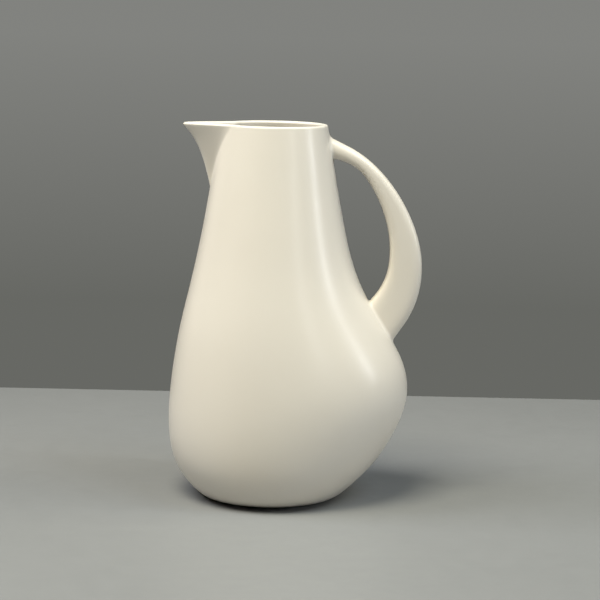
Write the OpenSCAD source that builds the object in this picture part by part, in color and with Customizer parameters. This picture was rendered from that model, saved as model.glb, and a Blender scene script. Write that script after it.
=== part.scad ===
// Ceramic pitcher: a cast stoneware vessel that swells towards its handle, with a pinched beak,
// a crescent handle luted on with slip, and a bare turned foot ring. +Z is up, the beak points
// along -X, the handle along +X, and the origin is the centre of the foot on the table.

/* [Vessel] */
// Height from the table to the top of the lip
height = 270; // [250:1:290]
// Radius of the neck just under the lip
neck_r = 38; // [36:0.5:41]
// How far the belly reaches towards the beak side
belly_front = 74; // [70:0.5:80]
// How far the belly swells towards the handle side
belly_back = 101; // [94:0.5:104]
// Half of the belly's depth, from side to side
belly_depth = 74; // [70:0.5:80]
// Thickness of the wall, which is also the thickness of the lip
wall = 3.6; // [3.2:0.1:5]
// Thickness of the floor
floor_t = 5; // [4:0.1:8]

/* [Foot] */
// Radius of the body's flat underside
base_r = 49; // [48:0.5:52]
// Outer radius of the foot ring, which stands back under the body
foot_r = 46; // [42:0.5:47]
// Height of the foot ring
foot_h = 1.2; // [1:0.1:3]
// Width of the foot ring
foot_w = 6; // [4:0.5:8]

/* [Beak] */
// How far the tip of the beak stands out from the neck at the beak's own foot
beak_reach = 20; // [14:0.5:22]
// Half of the angle that the beak takes out of the neck at the lip
beak_spread = 38; // [30:1:44]

/* [Handle] */
// Thickness of the handle from side to side, at its thickest
grip_w = 17; // [13:0.5:20]
// Size of the slip fillets where the handle meets the vessel
slip = 3.2; // [1.5:0.1:3.5]

/* [Hidden] */

glaze = [0.92, 0.88, 0.80];
slip_glaze = [0.95, 0.92, 0.86];
bare_clay = [0.80, 0.71, 0.58];

lip_h = wall / 2;
lip_z = height - lip_h;

// Sections of the vessel from the lip down to the foot. Each row gives its share of the height,
// how much of the swelling it has reached towards the front, the back and the sides, and its skew,
// which moves the widest place towards the front.
SECTIONS = [
    [1.00, 0.00, 0.00, 0.00, 0],
    [0.92, 0.10, 0.06, 0.10, 0],
    [0.84, 0.21, 0.12, 0.20, 0],
    [0.73, 0.34, 0.21, 0.36, 0],
    [0.64, 0.47, 0.30, 0.49, 0],
    [0.55, 0.62, 0.45, 0.64, 1],
    [0.46, 0.78, 0.70, 0.79, 4],
    [0.37, 0.89, 0.94, 0.91, 7],
    [0.28, 0.97, 1.01, 1.00, 7],
    [0.19, 1.00, 0.88, 1.02, 6],
    [0.10, 0.92, 0.66, 0.96, 3],
    [0.04, 0.64, 0.40, 0.79, 0],
    [0.01, 0.40, 0.26, 0.60, 0]
];
// The beak starts at this section of the neck
beak_foot = 2;
// How long the beak's flank follows the neck's curve, as a share of the flank
hollow = 0.28;
// The keel runs out steadily for this share of its reach, and flares to this power for the rest
keel_steady = 0.6;
keel_flare = 4;
// The nose's half width at the beak's foot, as a share of the cut's, and how much less it is at
// the lip on the outside and on the inside
nose_foot = 0.5;
nose_pinch = 0.2;
inner_pinch = 0.25;
// How much thicker the beak is than the wall at its tip, as a share of the wall
tip_extra = 0.35;
// Height over which the inside curves into the floor, the share of it that is flat, and how far
// the flat lies below its edge
floor_rise = 40;
floor_flat = 0.6;
floor_dip = 0.6;

// Stations of the handle from the neck down to the belly: the outer edge's x and z, the inner
// edge's x and z, the share of grip_w, and how square the section is (2 is an ellipse)
GRIP = [
    [36.0, 261.5, 41.0, 246.5, 0.80, 2.2],
    [54.0, 255.0, 50.5, 244.0, 0.82, 2.3],
    [70.0, 244.5, 62.5, 238.5, 0.86, 2.5],
    [86.0, 227.5, 75.0, 219.0, 0.92, 2.8],
    [99.0, 206.0, 83.0, 198.0, 0.97, 3.2],
    [107.0, 183.0, 85.0, 177.0, 1.00, 3.5],
    [108.5, 162.0, 83.0, 162.5, 1.00, 3.5],
    [104.5, 142.0, 77.5, 151.5, 1.00, 3.5],
    [96.5, 127.0, 72.5, 145.5, 1.00, 3.5],
    [87.0, 115.0, 69.5, 142.0, 1.00, 3.5]
];

around = 60;          // columns round the vessel
neck_steps = 6;       // rings for each section beside the beak
outer_steps = 3;      // rings for each section of the outside below it
inner_steps = 2;      // rings for each section of the inside below it
lip_steps = 6;        // bands over the lip
beak_columns = 17;    // columns round the beak
grip_columns = 24;    // columns round the handle
grip_steps = 4;       // rings for each station of the handle
cap_scales = [0.35, 0.7];   // scales of the rings that close the handle's ends
fillet_steps = 3;     // bands across a slip fillet

last = len(SECTIONS);
foot_row = [foot_h, base_r, base_r, base_r, 0];

// Height, front, back, half depth and skew of section k
function section(k) =
    k < 0 ? 2 * section(0) - section(1) :
    k == last ? foot_row :
    k > last ? 2 * section(last) - section(last - 1) :
    [
        foot_h + SECTIONS[k][0] * (lip_z - foot_h),
        neck_r + SECTIONS[k][1] * (belly_front - neck_r),
        neck_r + SECTIONS[k][2] * (belly_back - neck_r),
        neck_r + SECTIONS[k][3] * (belly_depth - neck_r),
        SECTIONS[k][4]
    ];

// Uniform cubic B-spline through four neighbours
function blend(a, b, c, d, t) =
    (pow(1 - t, 3) * a
    + (3 * pow(t, 3) - 6 * t * t + 4) * b
    + (-3 * pow(t, 3) + 3 * t * t + 3 * t + 1) * c
    + pow(t, 3) * d) / 6;

// The outside's row at s, where whole numbers are sections and 0 is the lip
function row_at(s) =
    let (k = min(floor(s), last - 1))
    blend(section(k - 1), section(k), section(k + 1), section(k + 2), s - k);

// The inside's row: a wall's thickness in, and lifted off the foot by the floor
function inside(r) =
    let (low = max(0, 1 - (r[0] - foot_h) / floor_rise))
    [r[0] + floor_t * low * low, r[1] - wall, r[2] - wall, r[3] - wall, r[4]];

// Point of a row at the angle u, where 0 is the handle side and 180 the beak side
function on_row(r, u) = [
    (r[2] - r[1]) / 2 + (r[1] + r[2]) / 2 * cos(u) - r[4] * pow(sin(u), 2),
    r[3] * sin(u),
    r[0]
];

// How far up the beak the place s is: 0 at the beak's foot and 1 at the lip
function beak_share(s) = max(0, 1 - s / beak_foot);

// Half of the angle that the beak takes out of the neck at s
function beak_gap(s) =
    let (least = 180 / around)
    least + (beak_spread - least) * pow(beak_share(s), 1.5);

// Angle of column i of the vessel at s; below the beak the columns go evenly all round
function column_angle(i, s) =
    let (open = 180 - beak_gap(s))
    -open + 2 * open * i / (around - 1);

// Over the lip: the angle a goes from the outer edge p at 0 to the inner edge q at 180
function over_lip(p, q, a) = (p + q) / 2 + (p - q) / 2 * cos(a) + [0, 0, lip_h * sin(a)];

// A four-sided face as two triangles, and the same two seen from the other side
function quad(a, b, c, d) = [[a, b, c], [a, c, d]];
function back_quad(a, b, c, d) = [[a, d, c], [a, c, b]];

// Places of the rings: up the outside, and down the inside
below = last - beak_foot;
neck_rings = beak_foot * neck_steps;
up = [
    for (i = [below * outer_steps:-1:1]) beak_foot + i / outer_steps,
    for (i = [neck_rings:-1:0]) i / neck_steps
];
down = [
    for (i = [0:neck_rings]) i / neck_steps,
    for (i = [1:below * inner_steps]) beak_foot + i / inner_steps
];
top = len(up) - 1;                  // ring where the outside reaches the lip
foot_of_beak = top - neck_rings;    // ring at the beak's foot
inner_top = top + lip_steps;        // ring where the inside leaves the lip

function vessel_ring(s, r) = [for (i = [0:around - 1]) on_row(r, column_angle(i, s))];

function lip_ring(outer, inner, a) =
    [for (i = [0:len(outer) - 1]) over_lip(outer[i], inner[i], a)];

// Faces between rings j and m of n columns, from column 0 to the last one, and round to column 0
// again when closed
function band(j, m, n, closed) = [
    for (i = [0:n - (closed ? 1 : 2)])
        let (k = (i + 1) % n)
        each quad(j * n + i, j * n + k, m * n + k, m * n + i)
];
function back_band(j, m, n, closed) = [
    for (i = [0:n - (closed ? 1 : 2)])
        let (k = (i + 1) % n)
        each back_quad(j * n + i, j * n + k, m * n + k, m * n + i)
];

// The cut edge at column c of a wall that is cut open from ring low up over the lip, where ring
// low's partner on the inside is ring high
function cut_edge(c, n, low, high, flip) = [
    for (j = [low:(low + high) / 2 - 1])
        let (a = j * n + c, b = (j + 1) * n + c)
        let (m = (low + high - j - 1) * n + c, p = (low + high - j) * n + c)
        each b == m ? [flip ? [a, p, b] : [a, b, p]]
            : flip ? back_quad(a, b, m, p) : quad(a, b, m, p)
];

module body() {
    outer_top = vessel_ring(0, row_at(0));
    inner_lip = vessel_ring(0, inside(row_at(0)));
    inside_foot = inside(row_at(last));
    floor_ring = [
        for (i = [0:around - 1])
            let (p = on_row(inside_foot, column_angle(i, last)))
            [p[0] * floor_flat, p[1] * floor_flat, p[2] - floor_dip]
    ];
    rings = [
        for (s = up) vessel_ring(s, row_at(s)),
        for (i = [1:lip_steps - 1]) lip_ring(outer_top, inner_lip, 180 * i / lip_steps),
        for (s = down) vessel_ring(s, inside(row_at(s))),
        floor_ring
    ];
    count = len(rings);
    notch_high = inner_top + neck_rings;
    a = foot_of_beak * around;
    b = notch_high * around;
    faces = [
        for (j = [0:count - 2])
            each back_band(j, j + 1, around, j < foot_of_beak || j >= notch_high),
        each cut_edge(0, around, foot_of_beak, notch_high, true),
        each cut_edge(around - 1, around, foot_of_beak, notch_high, false),
        each back_quad(a, b, b + around - 1, a + around - 1),
        [for (i = [0:around - 1]) i],
        [for (i = [around - 1:-1:0]) (count - 1) * around + i]
    ];
    color(glaze) polyhedron([for (r = rings) each r], faces);
}

// Distance of the keel of the beak from the axis at s
beak_root = -on_row(row_at(beak_foot), 180 - 180 / around)[0];
function keel(s) =
    let (q = beak_share(s))
    beak_root + beak_reach * (keel_steady * q + (1 - keel_steady) * pow(q, keel_flare));

// One ring of the beak: from the cut on one side, round the keel at distance k, to the cut on the
// other side. It leaves the neck along the neck's own curve, so that the joint is a soft hollow,
// and nose is the nose's half width as a share of the cut's.
function beak_ring(r, s, k, nose) =
    let (gap = beak_gap(s))
    let (cut = on_row(r, 180 - gap), ahead = on_row(r, 180.5 - gap) - cut)
    let (tip = [-k, 0, r[0]], turn = [-k, nose * cut[1], r[0]])
    let (leave = cut + hollow * norm(tip - cut) * ahead / norm(ahead))
    [
        for (i = [0:beak_columns - 1])
            let (v = 2 * i / (beak_columns - 1) - 1)
            let (t = 1 - abs(v))
            let (p = pow(1 - t, 3) * cut + 3 * t * pow(1 - t, 2) * leave
                + 3 * t * t * (1 - t) * turn + pow(t, 3) * tip)
            [p[0], v < 0 ? p[1] : -p[1], p[2]]
    ];

function beak_outer(s) =
    beak_ring(row_at(s), s, keel(s), nose_foot - nose_pinch * beak_share(s));

function beak_inner(s) =
    let (q = beak_share(s))
    let (k = keel(s) - wall * (1 + tip_extra * q))
    beak_ring(inside(row_at(s)), s, k, nose_foot - inner_pinch * q);

module spout() {
    n = beak_columns;
    rings = [
        for (i = [neck_rings:-1:0]) beak_outer(i / neck_steps),
        for (i = [1:lip_steps - 1]) lip_ring(beak_outer(0), beak_inner(0), 180 * i / lip_steps),
        for (i = [0:neck_rings]) beak_inner(i / neck_steps)
    ];
    high = len(rings) - 1;
    faces = [
        for (j = [0:high - 1]) each back_band(j, j + 1, n, false),
        each cut_edge(0, n, 0, high, true),
        each cut_edge(n - 1, n, 0, high, false),
        each band(0, high, n, false)
    ];
    color(glaze) polyhedron([for (r = rings) each r], faces);
}

// Where the outside of the vessel is at the height z: its place s, by halving
function place_at(z, low = 0, high = last - 1, n = 22) =
    let (mid = (low + high) / 2)
    n == 0 ? mid :
    row_at(mid)[0] > z ? place_at(z, mid, high, n - 1) : place_at(z, low, mid, n - 1);

// A point moved along X onto the handle side of the vessel
function on_vessel(p) =
    let (r = row_at(place_at(p[2])))
    let (u = asin(p[1] / r[3]))
    [on_row(r, u)[0], p[1], p[2]];

grip_last = len(GRIP) - 1;
function grip(k) =
    k < 0 ? 2 * GRIP[0] - GRIP[1] :
    k > grip_last ? 2 * GRIP[grip_last] - GRIP[grip_last - 1] : GRIP[k];

function grip_at(s) =
    let (k = min(floor(s), grip_last - 1))
    blend(grip(k - 1), grip(k), grip(k + 1), grip(k + 2), s - k);

// Rounded-off share of a circle's sine or cosine, for a section of squareness n
function squared(v, n) = sign(v) * pow(abs(v), 2 / n);

// One ring of the handle, drawn at the scale f about its middle
function grip_ring(s, f = 1) =
    let (g = grip_at(s))
    let (mx = (g[0] + g[2]) / 2, mz = (g[1] + g[3]) / 2)
    [
        for (i = [0:grip_columns - 1])
            let (u = 360 * i / grip_columns)
            let (c = f * squared(cos(u), g[5]), w = f * squared(sin(u), g[5]))
            [mx + c * (g[0] - g[2]) / 2, w * grip_w * g[4] / 2, mz + c * (g[1] - g[3]) / 2]
    ];

function snapped(ring) = [for (p = ring) on_vessel(p)];
function centre(ring) = [for (i = [0:2]) min([for (p = ring) p[i]]) / 2 + max([for (p = ring) p[i]]) / 2];

// The ring a slip's width away from the vessel, which both the handle and its fillet use
function lean(ring, start, f) =
    [for (i = [0:len(ring) - 1]) start[i] + f * (ring[i] - start[i]) / norm(ring[i] - start[i])];

upper_end = snapped(grip_ring(0));
upper_edge = lean(grip_ring(1), upper_end, slip);
lower_end = snapped(grip_ring(grip_last));
lower_edge = lean(grip_ring(grip_last - 1), lower_end, slip);

module handle() {
    n = grip_columns;
    upper_caps = [for (f = cap_scales) snapped(grip_ring(0, f))];
    lower_caps = [for (i = [1, 0]) snapped(grip_ring(grip_last, cap_scales[i]))];
    rings = [
        each upper_caps,
        upper_end,
        upper_edge,
        for (i = [grip_steps:(grip_last - 1) * grip_steps]) grip_ring(i / grip_steps),
        lower_edge,
        lower_end,
        each lower_caps
    ];
    count = len(rings);
    points = [
        for (r = rings) each r,
        on_vessel(centre(upper_caps[0])),
        on_vessel(centre(lower_caps[1]))
    ];
    faces = [
        for (j = [0:count - 2]) each band(j, j + 1, n, true),
        for (i = [0:n - 1]) [count * n, (i + 1) % n, i],
        for (i = [0:n - 1]) [count * n + 1, (count - 1) * n + i, (count - 1) * n + (i + 1) % n]
    ];
    color(glaze) polyhedron(points, faces);
}

// A slip fillet round one end of the handle: a hollow curve from the handle's edge ring down to
// the vessel, with its corner in the end ring
module fillet(end, edge, flip) {
    n = grip_columns;
    mid = centre(end);
    toe = [
        for (p = end)
            let (out = [0, p[1] - mid[1], p[2] - mid[2]])
            on_vessel(p + slip * out / norm(out))
    ];
    rings = [
        end,
        for (i = [0:fillet_steps])
            let (t = i / fillet_steps)
            [for (k = [0:n - 1]) pow(1 - t, 2) * edge[k] + 2 * t * (1 - t) * end[k] + t * t * toe[k]]
    ];
    count = len(rings);
    faces = [
        for (j = [0:count - 1])
            let (m = (j + 1) % count)
            each flip ? back_band(j, m, n, true) : band(j, m, n, true)
    ];
    color(slip_glaze) polyhedron([for (r = rings) each r], faces);
}

module upper_handle_joint() {
    fillet(upper_end, upper_edge, true);
}

module lower_handle_joint() {
    fillet(lower_end, lower_edge, false);
}

module foot_ring() {
    edge = 0.8;
    color(bare_clay)
        rotate_extrude($fn = 120)
            polygon([
                [foot_r - foot_w, foot_h],
                for (a = [180:30:270]) [foot_r - foot_w + edge * (1 + cos(a)), edge * (1 + sin(a))],
                for (a = [270:30:360]) [foot_r - edge * (1 - cos(a)), edge * (1 + sin(a))],
                [foot_r, foot_h]
            ]);
}

body();
spout();
handle();
upper_handle_joint();
lower_handle_joint();
foot_ring();
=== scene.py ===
import math

import bpy
import numpy as np
from mathutils import Matrix, Vector


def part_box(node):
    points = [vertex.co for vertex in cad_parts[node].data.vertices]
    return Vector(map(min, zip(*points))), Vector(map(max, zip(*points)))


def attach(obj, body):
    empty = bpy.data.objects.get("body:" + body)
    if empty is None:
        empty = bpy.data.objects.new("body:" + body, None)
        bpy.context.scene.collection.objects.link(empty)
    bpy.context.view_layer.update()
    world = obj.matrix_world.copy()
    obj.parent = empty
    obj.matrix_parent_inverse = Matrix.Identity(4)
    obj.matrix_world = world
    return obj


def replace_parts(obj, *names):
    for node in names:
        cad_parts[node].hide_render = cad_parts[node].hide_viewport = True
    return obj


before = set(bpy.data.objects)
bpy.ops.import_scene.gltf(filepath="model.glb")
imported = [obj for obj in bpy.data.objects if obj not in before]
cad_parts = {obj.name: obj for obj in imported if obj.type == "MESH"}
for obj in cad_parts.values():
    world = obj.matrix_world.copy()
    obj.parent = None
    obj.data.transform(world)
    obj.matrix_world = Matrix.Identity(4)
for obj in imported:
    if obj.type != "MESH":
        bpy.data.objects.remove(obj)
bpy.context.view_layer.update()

MM = 0.001

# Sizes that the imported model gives
body_low, body_high = (np.array(c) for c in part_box("body"))
foot_low, foot_high = (np.array(c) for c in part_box("foot_ring"))
HEIGHT = body_high[2]
FOOT_H = foot_high[2]
FOOT_R = foot_high[0]
GRIP_W = 2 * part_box("handle")[1].y

# Sizes that the boxes don't show
NECK_R = 38 * MM
BELLY_FRONT = 74 * MM
BELLY_BACK = 101 * MM
BELLY_DEPTH = 74 * MM
WALL = 3.6 * MM
FLOOR_T = 5 * MM
BASE_R = 49 * MM
FOOT_W = 6 * MM
BEAK_REACH = 20 * MM
BEAK_SPREAD = 38
SLIP = 3.2 * MM
LIP_H = WALL / 2
LIP_Z = HEIGHT - LIP_H
FOOT_EDGE = 0.8 * MM

# How long the beak's flank follows the neck's curve, as a share of the flank
HOLLOW = 0.28
# The keel runs out steadily for this share of its reach, and flares to this power for the rest
KEEL_STEADY = 0.6
KEEL_FLARE = 4
# The nose's half width at the beak's foot, as a share of the cut's, and how much less it is at
# the lip on the outside and on the inside
NOSE_FOOT = 0.5
NOSE_PINCH = 0.2
INNER_PINCH = 0.25
# How much thicker the beak is than the wall at its tip, as a share of the wall
TIP_EXTRA = 0.35
# Height over which the inside curves into the floor, and the thickness of the floor's middle
FLOOR_RISE = 40 * MM
FLOOR_MIDDLE = FLOOR_T - 0.8 * MM

# Sections of the vessel from the lip to the foot: share of the height, then the shares of the
# swelling to the front, the back and the sides, and the skew in millimetres
SECTIONS = [
    (1.00, 0.00, 0.00, 0.00, 0),
    (0.92, 0.10, 0.06, 0.10, 0),
    (0.84, 0.21, 0.12, 0.20, 0),
    (0.73, 0.34, 0.21, 0.36, 0),
    (0.64, 0.47, 0.30, 0.49, 0),
    (0.55, 0.62, 0.45, 0.64, 1),
    (0.46, 0.78, 0.70, 0.79, 4),
    (0.37, 0.89, 0.94, 0.91, 7),
    (0.28, 0.97, 1.01, 1.00, 7),
    (0.19, 1.00, 0.88, 1.02, 6),
    (0.10, 0.92, 0.66, 0.96, 3),
    (0.04, 0.64, 0.40, 0.79, 0),
    (0.01, 0.40, 0.26, 0.60, 0),
]
BEAK_FOOT = 2

# Stations of the handle: outer x and z, inner x and z, share of the thickness, squareness
GRIP = [
    (36.0, 261.5, 41.0, 246.5, 0.80, 2.2),
    (54.0, 255.0, 50.5, 244.0, 0.82, 2.3),
    (70.0, 244.5, 62.5, 238.5, 0.86, 2.5),
    (86.0, 227.5, 75.0, 219.0, 0.92, 2.8),
    (99.0, 206.0, 83.0, 198.0, 0.97, 3.2),
    (107.0, 183.0, 85.0, 177.0, 1.00, 3.5),
    (108.5, 162.0, 83.0, 162.5, 1.00, 3.5),
    (104.5, 142.0, 77.5, 151.5, 1.00, 3.5),
    (96.5, 127.0, 72.5, 145.5, 1.00, 3.5),
    (87.0, 115.0, 69.5, 142.0, 1.00, 3.5),
]

# How fine the meshes are
AROUND = 180
NECK_STEPS = 20
OUTER_STEPS = 12
INNER_STEPS = 7
LIP_STEPS = 12
BEAK_COLUMNS = 61
GRIP_COLUMNS = 64
GRIP_STEPS = 14
FILLET_STEPS = 8
DISC_STEPS = 8
FOOT_COLUMNS = 240
CAP_SCALES = (0.7, 0.35)


# ---- the vessel's surface -------------------------------------------------------------------

def with_ends(rows):
    """The rows with one more at each end, in line with the last two."""
    rows = np.array(rows, float)
    return np.vstack([2 * rows[0] - rows[1], rows, 2 * rows[-1] - rows[-2]])


def spline(rows, s):
    """Uniform cubic B-spline through rows that with_ends() has padded; whole s are rows."""
    k = min(int(math.floor(s)), len(rows) - 4)
    t = s - k
    a, b, c, d = rows[k:k + 4]
    return (
        (1 - t) ** 3 * a
        + (3 * t ** 3 - 6 * t * t + 4) * b
        + (-3 * t ** 3 + 3 * t * t + 3 * t + 1) * c
        + t ** 3 * d
    ) / 6


def vessel_rows():
    rows = [
        (
            FOOT_H + share * (LIP_Z - FOOT_H),
            NECK_R + front * (BELLY_FRONT - NECK_R),
            NECK_R + back * (BELLY_BACK - NECK_R),
            NECK_R + side * (BELLY_DEPTH - NECK_R),
            skew * MM,
        )
        for share, front, back, side, skew in SECTIONS
    ]
    return with_ends(rows + [(FOOT_H, BASE_R, BASE_R, BASE_R, 0)])


ROWS = vessel_rows()
LAST = len(SECTIONS)


def outside(s):
    return spline(ROWS, s)


def inside(s):
    """The outside's row a wall's thickness in, and lifted off the foot by the floor."""
    z, front, back, side, skew = spline(ROWS, s)
    low = max(0.0, 1 - (z - FOOT_H) / FLOOR_RISE)
    return np.array([z + FLOOR_T * low * low, front - WALL, back - WALL, side - WALL, skew])


def on_row(row, u):
    """Points of a row at the angles u, in degrees: 0 is the handle side, 180 the beak side."""
    z, front, back, side, skew = row
    a = np.radians(np.asarray(u, float))
    x = (back - front) / 2 + (front + back) / 2 * np.cos(a) - skew * np.sin(a) ** 2
    return np.stack([x, side * np.sin(a), np.full_like(a, z)], -1)


def beak_share(s):
    return max(0.0, 1 - s / BEAK_FOOT)


def beak_gap(s):
    """Half of the angle that the beak takes out of the neck at s."""
    least = 180 / AROUND
    return least + (BEAK_SPREAD - least) * beak_share(s) ** 1.5


def column_angles(s):
    """Even all round below the beak; above it, even from one side of the beak to the other."""
    if s >= BEAK_FOOT:
        return np.linspace(-180, 180, AROUND, endpoint=False) + 180 / AROUND
    open_half = 180 - beak_gap(s)
    return np.linspace(-open_half, open_half, AROUND)


def vessel_ring(row, s):
    return on_row(row, column_angles(s))


def over_lip(outer, inner, angle):
    a = math.radians(angle)
    up = np.array([0, 0, LIP_H * math.sin(a)])
    return (outer + inner) / 2 + (outer - inner) / 2 * math.cos(a) + up


# ---- the beak -------------------------------------------------------------------------------

def keel(s):
    """Distance of the beak's keel from the axis at s."""
    q = beak_share(s)
    root = -on_row(outside(BEAK_FOOT), 180 - 180 / AROUND)[0]
    return root + BEAK_REACH * (KEEL_STEADY * q + (1 - KEEL_STEADY) * q ** KEEL_FLARE)


def beak_ring(row, s, k, nose):
    """From the cut on one side, round the keel at distance k, to the cut on the other side. It
    leaves the neck in line with the neck's own curve, so the joint is a soft hollow."""
    gap = beak_gap(s)
    cut = on_row(row, 180 - gap)
    ahead = on_row(row, 180 - gap + 0.5) - cut
    reach = math.dist(cut, (-k, 0, row[0]))
    leave = cut + HOLLOW * reach * ahead / np.linalg.norm(ahead)
    turn = np.array([-k, nose * cut[1], row[0]])
    tip = np.array([-k, 0, row[0]])
    t = np.linspace(0, 1, BEAK_COLUMNS // 2 + 1)[:, None]
    half = (1 - t) ** 3 * cut + 3 * t * (1 - t) ** 2 * leave + 3 * t * t * (1 - t) * turn + t ** 3 * tip
    other = half[-2::-1] * np.array([1, -1, 1])
    return np.vstack([half, other])


def beak_outer(s):
    return beak_ring(outside(s), s, keel(s), NOSE_FOOT - NOSE_PINCH * beak_share(s))


def beak_inner(s):
    q = beak_share(s)
    k = keel(s) - WALL * (1 + TIP_EXTRA * q)
    return beak_ring(inside(s), s, k, NOSE_FOOT - INNER_PINCH * q)


# ---- the handle -----------------------------------------------------------------------------

GRIP_ROWS = with_ends([(a * MM, b * MM, c * MM, d * MM, e, n) for a, b, c, d, e, n in GRIP])
GRIP_LAST = len(GRIP) - 1


def place_at(z):
    """The place s of the outside at the height z."""
    low, high = 0.0, float(LAST - 1)
    for _ in range(30):
        mid = (low + high) / 2
        if outside(mid)[0] > z:
            low = mid
        else:
            high = mid
    return (low + high) / 2


def on_vessel(points):
    """Points moved along X onto the handle side of the vessel."""
    found = []
    for x, y, z in points:
        row = outside(place_at(z))
        found.append(on_row(row, math.degrees(math.asin(y / row[3]))))
    return np.array(found)


def vessel_normals(points):
    """Outward normals of the vessel at points on its handle side."""
    step = 0.2 * MM
    across = on_vessel(points + [0, step, 0]) - on_vessel(points - [0, step, 0])
    along = on_vessel(points + [0, 0, step]) - on_vessel(points - [0, 0, step])
    n = np.cross(across, along)
    return n / np.linalg.norm(n, axis=1)[:, None]


def squared(v, n):
    return np.sign(v) * np.abs(v) ** (2 / n)


def grip_ring(s, scale=1.0):
    g = spline(GRIP_ROWS, s)
    u = np.linspace(0, 2 * np.pi, GRIP_COLUMNS, endpoint=False)
    c = scale * squared(np.cos(u), g[5])
    w = scale * squared(np.sin(u), g[5])
    x = (g[0] + g[2]) / 2 + c * (g[0] - g[2]) / 2
    z = (g[1] + g[3]) / 2 + c * (g[1] - g[3]) / 2
    return np.stack([x, w * GRIP_W / 2 * g[4], z], -1)


def landing(s, end_s, next_s):
    """The handle's ring at s, drawn towards the vessel so that it lands on it at end_s."""
    pull = ((next_s - s) / (next_s - end_s)) ** 2
    return grip_ring(s) + pull * (on_vessel(grip_ring(end_s)) - grip_ring(end_s))


def landing_rings(end_s, next_s):
    """Rings from the vessel to the ring at next_s. The second is a slip's width off the vessel."""
    fine = np.array([landing(s, end_s, next_s) for s in np.linspace(end_s, next_s, 161)])
    steps = np.linalg.norm(np.diff(fine, axis=0), axis=2)
    run = np.vstack([np.zeros(GRIP_COLUMNS), np.cumsum(steps, axis=0)])
    shares = np.linspace(0, 1, GRIP_STEPS)
    rings = np.empty((len(shares) + 1, GRIP_COLUMNS, 3))
    rings[0] = fine[0]
    for i in range(GRIP_COLUMNS):
        at = SLIP + shares * (run[-1, i] - SLIP)
        for axis in range(3):
            rings[1:, i, axis] = np.interp(at, run[:, i], fine[:, i, axis])
    return rings


# ---- meshes ---------------------------------------------------------------------------------

class Shell:
    """A mesh being made from rings of points. Faces marked hidden touch another piece."""

    def __init__(self, name):
        self.name = name
        self.points = []
        self.faces = []
        self.hidden = []
        self.fixed = {}

    def add_ring(self, ring):
        first = len(self.points)
        self.points.extend(np.asarray(ring, float))
        return list(range(first, len(self.points)))

    def face(self, *corners, hidden=False):
        self.faces.append(corners)
        self.hidden.append(hidden)

    def band(self, a, b, closed=True, hidden=False):
        """Faces between two rings of point numbers."""
        n = len(a)
        for i in range(n if closed else n - 1):
            k = (i + 1) % n
            self.face(a[i], a[k], b[k], b[i], hidden=hidden)

    def visible_normals(self):
        """Sum of the visible faces' normals at each point, by area."""
        co = np.array(self.points)
        total = np.zeros_like(co)
        for corners, hidden in zip(self.faces, self.hidden):
            if hidden:
                continue
            p = co[list(corners)]
            n = np.cross(p[1] - p[0], p[2] - p[0])
            if len(corners) == 4:
                n += np.cross(p[2] - p[0], p[3] - p[0])
            for c in corners:
                total[c] += n
        return total

    def build(self, normals, material, slot):
        mesh = bpy.data.meshes.new(self.name)
        mesh.from_pydata([tuple(p) for p in self.points], [], self.faces)
        mesh.polygons.foreach_set("use_smooth", [True] * len(self.faces))
        loops = []
        for poly, hidden in zip(mesh.polygons, self.hidden):
            for v in poly.vertices:
                loops.append(tuple(poly.normal) if hidden else tuple(normals[v]))
        mesh.normals_split_custom_set(loops)
        mesh.update()
        mesh.materials.append(material)
        obj = bpy.data.objects.new(self.name, mesh)
        bpy.context.scene.collection.objects.link(obj)
        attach(obj, "root")
        return obj


def shared_normals(shells):
    """Smooth normals for each shell, the same on both sides of the seams between them."""
    sums, keys = {}, {}
    for shell in shells:
        keys[shell.name] = [tuple(np.round(p / (0.001 * MM)).astype(int)) for p in shell.points]
        for key, n in zip(keys[shell.name], shell.visible_normals()):
            sums[key] = sums.get(key, 0) + n
    made = {}
    for shell in shells:
        normals = []
        for i, key in enumerate(keys[shell.name]):
            n = shell.fixed.get(i, sums[key])
            size = np.linalg.norm(n)
            normals.append(n / size if size > 0 else np.array([0.0, 0.0, 1.0]))
        made[shell.name] = normals
    return made


def outer_places():
    below = [BEAK_FOOT + i / OUTER_STEPS for i in range((LAST - BEAK_FOOT) * OUTER_STEPS, 0, -1)]
    return below + neck_places()[::-1]


def inner_places():
    below = [BEAK_FOOT + i / INNER_STEPS for i in range(1, (LAST - BEAK_FOOT) * INNER_STEPS + 1)]
    return neck_places() + below


def neck_places():
    return [BEAK_FOOT * i / NECK_STEPS for i in range(NECK_STEPS + 1)]


def cut_faces(shell, outer, inner, column, flip):
    """The cut edge of a wall: rings outer[j] on the outside have partners inner[j]."""
    for j in range(len(outer) - 1):
        a, b = outer[j][column], outer[j + 1][column]
        p, m = inner[j][column], inner[j + 1][column]
        corners = (a, b, m, p) if b != m else (a, b, p)
        shell.face(*(corners[::-1] if flip else corners), hidden=True)


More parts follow.
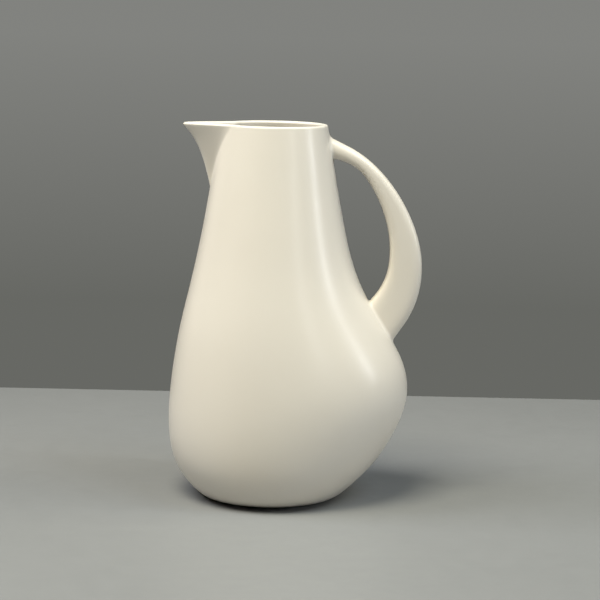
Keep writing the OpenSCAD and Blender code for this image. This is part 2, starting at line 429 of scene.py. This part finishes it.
def make_body():
    shell = Shell("glazed_body")
    up = [shell.add_ring(vessel_ring(outside(s), s)) for s in outer_places()]
    outer_top, inner_top = vessel_ring(outside(0), 0), vessel_ring(inside(0), 0)
    lip = [
        shell.add_ring(over_lip(outer_top, inner_top, 180 * i / LIP_STEPS))
        for i in range(1, LIP_STEPS)
    ]
    down = [shell.add_ring(vessel_ring(inside(s), s)) for s in inner_places()]
    rings = up + lip + down
    beak_low = len(up) - 1 - NECK_STEPS
    beak_high = len(up) + len(lip) + NECK_STEPS
    for j in range(len(rings) - 1):
        shell.band(rings[j], rings[j + 1], closed=j < beak_low or j >= beak_high)
    middle = (beak_low + beak_high) // 2
    outer_side = rings[beak_low:middle + 1]
    inner_side = rings[beak_high:middle - 1:-1]
    cut_faces(shell, outer_side, inner_side, 0, False)
    cut_faces(shell, outer_side, inner_side, AROUND - 1, True)
    low, high = rings[beak_low], rings[beak_high]
    shell.face(low[0], high[0], high[-1], low[-1], hidden=True)
    close_disc(shell, rings[-1], FOOT_H + FLOOR_MIDDLE)
    close_disc(shell, rings[0][::-1], FOOT_H)
    return shell


def close_disc(shell, ring, z):
    """Fills a ring with a disc, dished where its middle, at the height z, is below the ring."""
    under_foot = z == FOOT_H
    edge = np.array([shell.points[i] for i in ring])
    centre = np.array([edge[:, 0].mean(), edge[:, 1].mean(), z])
    last = ring
    for i in range(DISC_STEPS - 1, 0, -1):
        f = i / DISC_STEPS
        fall = 1 - (1 - f * f) ** 2 if z < edge[0, 2] else 1
        dish = centre + (edge - centre) * np.array([f, f, fall])
        now = shell.add_ring(dish)
        shell.band(last, now, hidden=under_foot and i == DISC_STEPS - 1)
        last = now
    hub = shell.add_ring([centre])[0]
    for i in range(len(last)):
        shell.face(last[i], last[(i + 1) % len(last)], hub)


def make_spout():
    shell = Shell("glazed_spout")
    up = [shell.add_ring(beak_outer(s)) for s in neck_places()[::-1]]
    lip = [
        shell.add_ring(over_lip(beak_outer(0), beak_inner(0), 180 * i / LIP_STEPS))
        for i in range(1, LIP_STEPS)
    ]
    down = [shell.add_ring(beak_inner(s)) for s in neck_places()]
    rings = up + lip + down
    for j in range(len(rings) - 1):
        shell.band(rings[j], rings[j + 1], closed=False)
    middle = (len(rings) - 1) // 2
    outer_side = rings[:middle + 1]
    inner_side = rings[:middle - 1:-1]
    cut_faces(shell, outer_side, inner_side, 0, False)
    cut_faces(shell, outer_side, inner_side, BEAK_COLUMNS - 1, True)
    shell.band(rings[-1], rings[0], closed=False, hidden=True)
    return shell


def end_cap(shell, ring, s, flip):
    """Closes the handle's end with rings that lie on the vessel."""
    last = ring
    for scale in CAP_SCALES:
        now = shell.add_ring(on_vessel(grip_ring(s, scale)))
        shell.band(*((now, last) if flip else (last, now)), hidden=True)
        last = now
    hub = shell.add_ring([np.mean([shell.points[i] for i in last], axis=0)])[0]
    for i in range(len(last)):
        k = (i + 1) % len(last)
        shell.face(*((last[k], last[i], hub) if flip else (last[i], last[k], hub)), hidden=True)


def make_handle():
    shell = Shell("glazed_handle")
    upper = landing_rings(0, 1)
    lower = landing_rings(GRIP_LAST, GRIP_LAST - 1)[::-1]
    middle = [grip_ring(1 + i / GRIP_STEPS) for i in range(1, (GRIP_LAST - 2) * GRIP_STEPS)]
    rings = [shell.add_ring(r) for r in [*upper, *middle, *lower]]
    for j in range(len(rings) - 1):
        shell.band(rings[j + 1], rings[j], hidden=j in (0, len(rings) - 2))
    end_cap(shell, rings[0], 0, False)
    end_cap(shell, rings[-1], GRIP_LAST, True)
    return shell, upper[:2], lower[:-3:-1]


def make_fillet(name, end, edge, flip):
    """The slip round one end of the handle, hollow from the handle down to the vessel."""
    shell = Shell(name)
    middle = (end.max(0) + end.min(0)) / 2
    out = (end - middle) * [0, 1, 1]
    toe = on_vessel(end + SLIP * out / np.linalg.norm(out, axis=1)[:, None])
    corner = shell.add_ring(end)
    rings = []
    for i in range(FILLET_STEPS + 1):
        t = i / FILLET_STEPS
        rings.append(shell.add_ring((1 - t) ** 2 * edge + 2 * t * (1 - t) * end + t * t * toe))
    loop = [corner] + rings
    for j in range(len(loop)):
        a, b = loop[j], loop[(j + 1) % len(loop)]
        shell.band(*((b, a) if flip else (a, b)), hidden=j in (0, len(loop) - 1))
    for i, n in zip(rings[-1], vessel_normals(toe)):
        shell.fixed[i] = n
    return shell


def make_foot_ring():
    """The bare turned foot, round at its lower edges."""
    shell = Shell("bare_foot_ring")
    edge = FOOT_EDGE
    inner = FOOT_R - FOOT_W
    profile = [(inner, FOOT_H)]
    profile += [
        (inner + edge * (1 + math.cos(a)), edge * (1 + math.sin(a)))
        for a in np.radians(np.linspace(180, 270, 7))
    ]
    profile += [(inner + FOOT_W * f, 0.0) for f in (0.35, 0.5, 0.65)]
    profile += [
        (FOOT_R - edge * (1 - math.cos(a)), edge * (1 + math.sin(a)))
        for a in np.radians(np.linspace(270, 360, 7))
    ]
    profile += [(FOOT_R, FOOT_H)]
    turns = np.linspace(0, 2 * np.pi, FOOT_COLUMNS, endpoint=False)
    rings = [
        shell.add_ring([(r * math.cos(a), r * math.sin(a), z) for a in turns]) for r, z in profile
    ]
    for j in range(len(rings)):
        last = j == len(rings) - 1
        shell.band(rings[j], rings[(j + 1) % len(rings)], hidden=last)
    return shell


# ---- materials ------------------------------------------------------------------------------

class Nodes:
    """A material's node tree, with short calls to add to it."""

    def __init__(self, name):
        self.material = bpy.data.materials.new(name)
        self.material.use_nodes = True
        self.tree = self.material.node_tree
        self.shader = self.tree.nodes["Principled BSDF"]
        self.place = self.add("ShaderNodeTexCoord").outputs["Object"]

    def add(self, kind, **settings):
        node = self.tree.nodes.new(kind)
        for key, value in settings.items():
            setattr(node, key, value)
        return node

    def link(self, out, into):
        self.tree.links.new(out, into)

    def noise(self, scale, detail, roughness=0.5):
        """Noise whose features are about 1 / scale metres across."""
        node = self.add("ShaderNodeTexNoise")
        node.inputs["Scale"].default_value = scale
        node.inputs["Detail"].default_value = detail
        node.inputs["Roughness"].default_value = roughness
        self.link(self.place, node.inputs["Vector"])
        return node.outputs["Fac"]

    def span(self, value, low, high, to_low, to_high):
        """The value's range low to high carried to another range, and held at its ends."""
        node = self.add("ShaderNodeMapRange")
        for key, number in zip(
            ("From Min", "From Max", "To Min", "To Max"), (low, high, to_low, to_high)
        ):
            node.inputs[key].default_value = number
        self.link(value, node.inputs["Value"])
        return node.outputs["Result"]

    def mix(self, share, a, b):
        """Colour a where the share is 0 and colour b where it is 1."""
        node = self.add("ShaderNodeMix", data_type="RGBA")
        self.link(share, node.inputs[0])
        for socket, colour in ((node.inputs[6], a), (node.inputs[7], b)):
            if isinstance(colour, tuple):
                socket.default_value = (*colour, 1)
            else:
                self.link(colour, socket)
        return node.outputs[2]

    def bump(self, height, distance, under=None):
        node = self.add("ShaderNodeBump")
        node.inputs["Distance"].default_value = distance
        self.link(height, node.inputs["Height"])
        if under is not None:
            self.link(under, node.inputs["Normal"])
        return node.outputs["Normal"]

    def height_above_table(self):
        node = self.add("ShaderNodeSeparateXYZ")
        self.link(self.place, node.inputs["Vector"])
        return node.outputs["Z"]


def satin_glaze():
    """Warm white satin glaze: faintly clouded, paler on the lip from a painted highlight, darker and
    warmer just above the foot from painted shade, with a slow ripple and a very fine eggshell surface."""
    n = Nodes("satin_glaze")
    clouds = n.span(n.noise(14, 3), 0.35, 0.65, 0, 1)
    colour = n.mix(clouds, (0.81, 0.76, 0.68), (0.82, 0.773, 0.695))
    fine = n.span(n.noise(420, 2), 0.35, 0.7, 0, 0.05)
    colour = n.mix(fine, colour, (0.78, 0.72, 0.63))
    z = n.height_above_table()
    # Painted highlight: the glaze is made paler over the top 2 mm, at the lip.
    lip_painted_highlight = n.span(z, HEIGHT - 2 * MM, HEIGHT, 0, 0.6)
    colour = n.mix(lip_painted_highlight, colour, (0.86, 0.83, 0.76))
    # Painted shade: the glaze is made darker and warmer over the 3 mm above the foot.
    foot_painted_shade = n.span(z, FOOT_H + 3 * MM, FOOT_H, 0, 0.3)
    colour = n.mix(foot_painted_shade, colour, (0.66, 0.56, 0.43))
    n.link(colour, n.shader.inputs["Base Color"])
    rough = n.span(n.noise(160, 3), 0.3, 0.7, 0.285, 0.325)
    n.link(rough, n.shader.inputs["Roughness"])
    n.shader.inputs["IOR"].default_value = 1.5
    ripple = n.bump(n.noise(45, 1), 0.06 * MM)
    eggshell = n.bump(n.noise(900, 2), 0.003 * MM, ripple)
    n.link(eggshell, n.shader.inputs["Normal"])
    return n.material


def bare_clay():
    """Unglazed stoneware: buff, with fine grog, worn paler where the foot stands."""
    n = Nodes("bare_clay")
    grog = n.span(n.noise(1500, 4, 0.7), 0.35, 0.7, 0, 1)
    colour = n.mix(grog, (0.52, 0.42, 0.31), (0.66, 0.56, 0.43))
    worn = n.span(n.height_above_table(), 0.5 * MM, 0, 0, 0.5)
    colour = n.mix(worn, colour, (0.70, 0.62, 0.50))
    n.link(colour, n.shader.inputs["Base Color"])
    n.link(n.span(n.noise(700, 3), 0.3, 0.7, 0.78, 0.92), n.shader.inputs["Roughness"])
    n.link(n.bump(n.noise(1800, 4, 0.7), 0.12 * MM), n.shader.inputs["Normal"])
    return n.material


def painted_table():
    """The plain matte table: a pale cool grey with a faint unevenness."""
    n = Nodes("painted_table")
    clouds = n.span(n.noise(4, 3), 0.3, 0.7, 0, 1)
    n.link(n.mix(clouds, (0.24, 0.247, 0.25), (0.255, 0.262, 0.265)), n.shader.inputs["Base Color"])
    n.link(n.span(n.noise(60, 3), 0.3, 0.7, 0.5, 0.58), n.shader.inputs["Roughness"])
    n.link(n.bump(n.noise(500, 3), 0.03 * MM), n.shader.inputs["Normal"])
    return n.material


# ---- the pieces -----------------------------------------------------------------------------

glaze = satin_glaze()
handle_shell, upper_rings, lower_rings = make_handle()
upper_fillet = make_fillet("upper_slip_fillet", upper_rings[0], upper_rings[1], False)
lower_fillet = make_fillet("lower_slip_fillet", lower_rings[0], lower_rings[1], True)
shells = {
    "body": make_body(),
    "spout": make_spout(),
    "handle": handle_shell,
    "upper_handle_joint": upper_fillet,
    "lower_handle_joint": lower_fillet,
}
normals = shared_normals(list(shells.values()))
for node, shell in shells.items():
    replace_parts(shell.build(normals[shell.name], glaze, "glaze"), node)

foot = make_foot_ring()
foot_normals = shared_normals([foot])[foot.name]
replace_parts(foot.build(foot_normals, bare_clay(), "bare_clay"), "foot_ring")


# ---- table, light and camera ----------------------------------------------------------------

def make_table():
    """The table top, which ends behind the pitcher where the wall begins."""
    back, front, half = 0.372, -3.0, 3.0
    mesh = bpy.data.meshes.new("table")
    corners = [(-half, front, 0), (half, front, 0), (half, back, 0), (-half, back, 0)]
    mesh.from_pydata(corners, [], [(0, 1, 2, 3)])
    mesh.materials.append(painted_table())
    table = bpy.data.objects.new("table", mesh)
    bpy.context.scene.collection.objects.link(table)


def soft_light(name, place, size, power, colour, target=(0, 0, 0.14)):
    """A rectangular light, of width and height size, that faces the target."""
    light = bpy.data.lights.new(name, "AREA")
    light.shape = "RECTANGLE"
    light.size, light.size_y = size
    light.energy = power
    light.color = colour
    obj = bpy.data.objects.new(name, light)
    obj.location = place
    towards = Vector(target) - Vector(place)
    obj.rotation_euler = towards.to_track_quat("-Z", "Y").to_euler()
    bpy.context.scene.collection.objects.link(obj)


def from_middle(azimuth, elevation, distance=2.0):
    """A place seen from the pitcher's middle: azimuth 0 is the camera's side, 90 the handle's."""
    a, e = math.radians(azimuth), math.radians(elevation)
    flat = distance * math.cos(e)
    return (flat * math.sin(a), -flat * math.cos(a), 0.14 + distance * math.sin(e))


make_table()
soft_light("key", from_middle(-30, 65), (0.9, 0.9), 44, (1.0, 0.95, 0.78))
soft_light("left", from_middle(-85, 50), (0.9, 0.9), 20, (0.93, 0.95, 1.0))
soft_light("right", from_middle(60, 55), (0.9, 0.9), 12, (0.75, 0.88, 1.0))
soft_light("side", from_middle(90, 45), (0.9, 0.9), 9, (1.0, 0.93, 0.75))
soft_light("window_side", from_middle(80, 15), (0.12, 0.5), 5.5, (0.93, 0.97, 1.0))
soft_light("window_front", from_middle(37, 17), (0.16, 0.35), 1.5, (0.93, 0.97, 1.0))
soft_light("back_left", from_middle(-120, 12), (0.9, 0.9), 2, (1.0, 0.88, 0.72))


def make_wall():
    """What the camera sees behind the table is a plain grey wall, made a little paler higher up by
    painted shading. The pitcher is lit only faintly by it."""
    world = bpy.data.worlds.new("wall")
    world.use_nodes = True
    nodes, link = world.node_tree.nodes, world.node_tree.links.new
    background = nodes["Background"]
    background.inputs["Color"].default_value = (0.01, 0.01, 0.01, 1)
    seen = nodes.new("ShaderNodeBackground")
    direction = nodes.new("ShaderNodeTexCoord")
    parts = nodes.new("ShaderNodeSeparateXYZ")
    # Painted shading: the wall's grey is darker low down and paler higher up.
    rise = nodes.new("ShaderNodeMapRange")
    rise.inputs["From Min"].default_value = -0.15
    rise.inputs["From Max"].default_value = -0.02
    shade = nodes.new("ShaderNodeMix")
    shade.data_type = "RGBA"
    shade.inputs[6].default_value = (0.136, 0.139, 0.127, 1)
    shade.inputs[7].default_value = (0.222, 0.225, 0.212, 1)
    path = nodes.new("ShaderNodeLightPath")
    choose = nodes.new("ShaderNodeMixShader")
    link(direction.outputs["Generated"], parts.inputs["Vector"])
    link(parts.outputs["Z"], rise.inputs["Value"])
    link(rise.outputs["Result"], shade.inputs[0])
    link(shade.outputs[2], seen.inputs["Color"])
    link(path.outputs["Is Camera Ray"], choose.inputs[0])
    link(background.outputs[0], choose.inputs[1])
    link(seen.outputs[0], choose.inputs[2])
    link(choose.outputs[0], nodes["World Output"].inputs["Surface"])
    bpy.context.scene.world = world


make_wall()
bpy.context.scene.view_settings.view_transform = "Standard"


def make_camera():
    """A little above the lip, looking slightly down, and turned slightly about its own axis."""
    place = Vector((0.0204, -1.430, 0.359))
    pitch, roll = math.radians(8.585), math.radians(1.2)
    right = Vector((1, 0, 0))
    up = Vector((0, math.sin(pitch), math.cos(pitch)))
    back = Vector((0, -math.cos(pitch), math.sin(pitch)))
    x_axis = math.cos(roll) * right + math.sin(roll) * up
    y_axis = math.cos(roll) * up - math.sin(roll) * right
    data = bpy.data.cameras.new("camera")
    data.sensor_width = 36
    data.lens = 120
    camera = bpy.data.objects.new("camera", data)
    turn = Matrix((x_axis, y_axis, back)).transposed()
    camera.matrix_world = Matrix.Translation(place) @ turn.to_4x4()
    bpy.context.scene.collection.objects.link(camera)
    bpy.context.scene.camera = camera


make_camera()
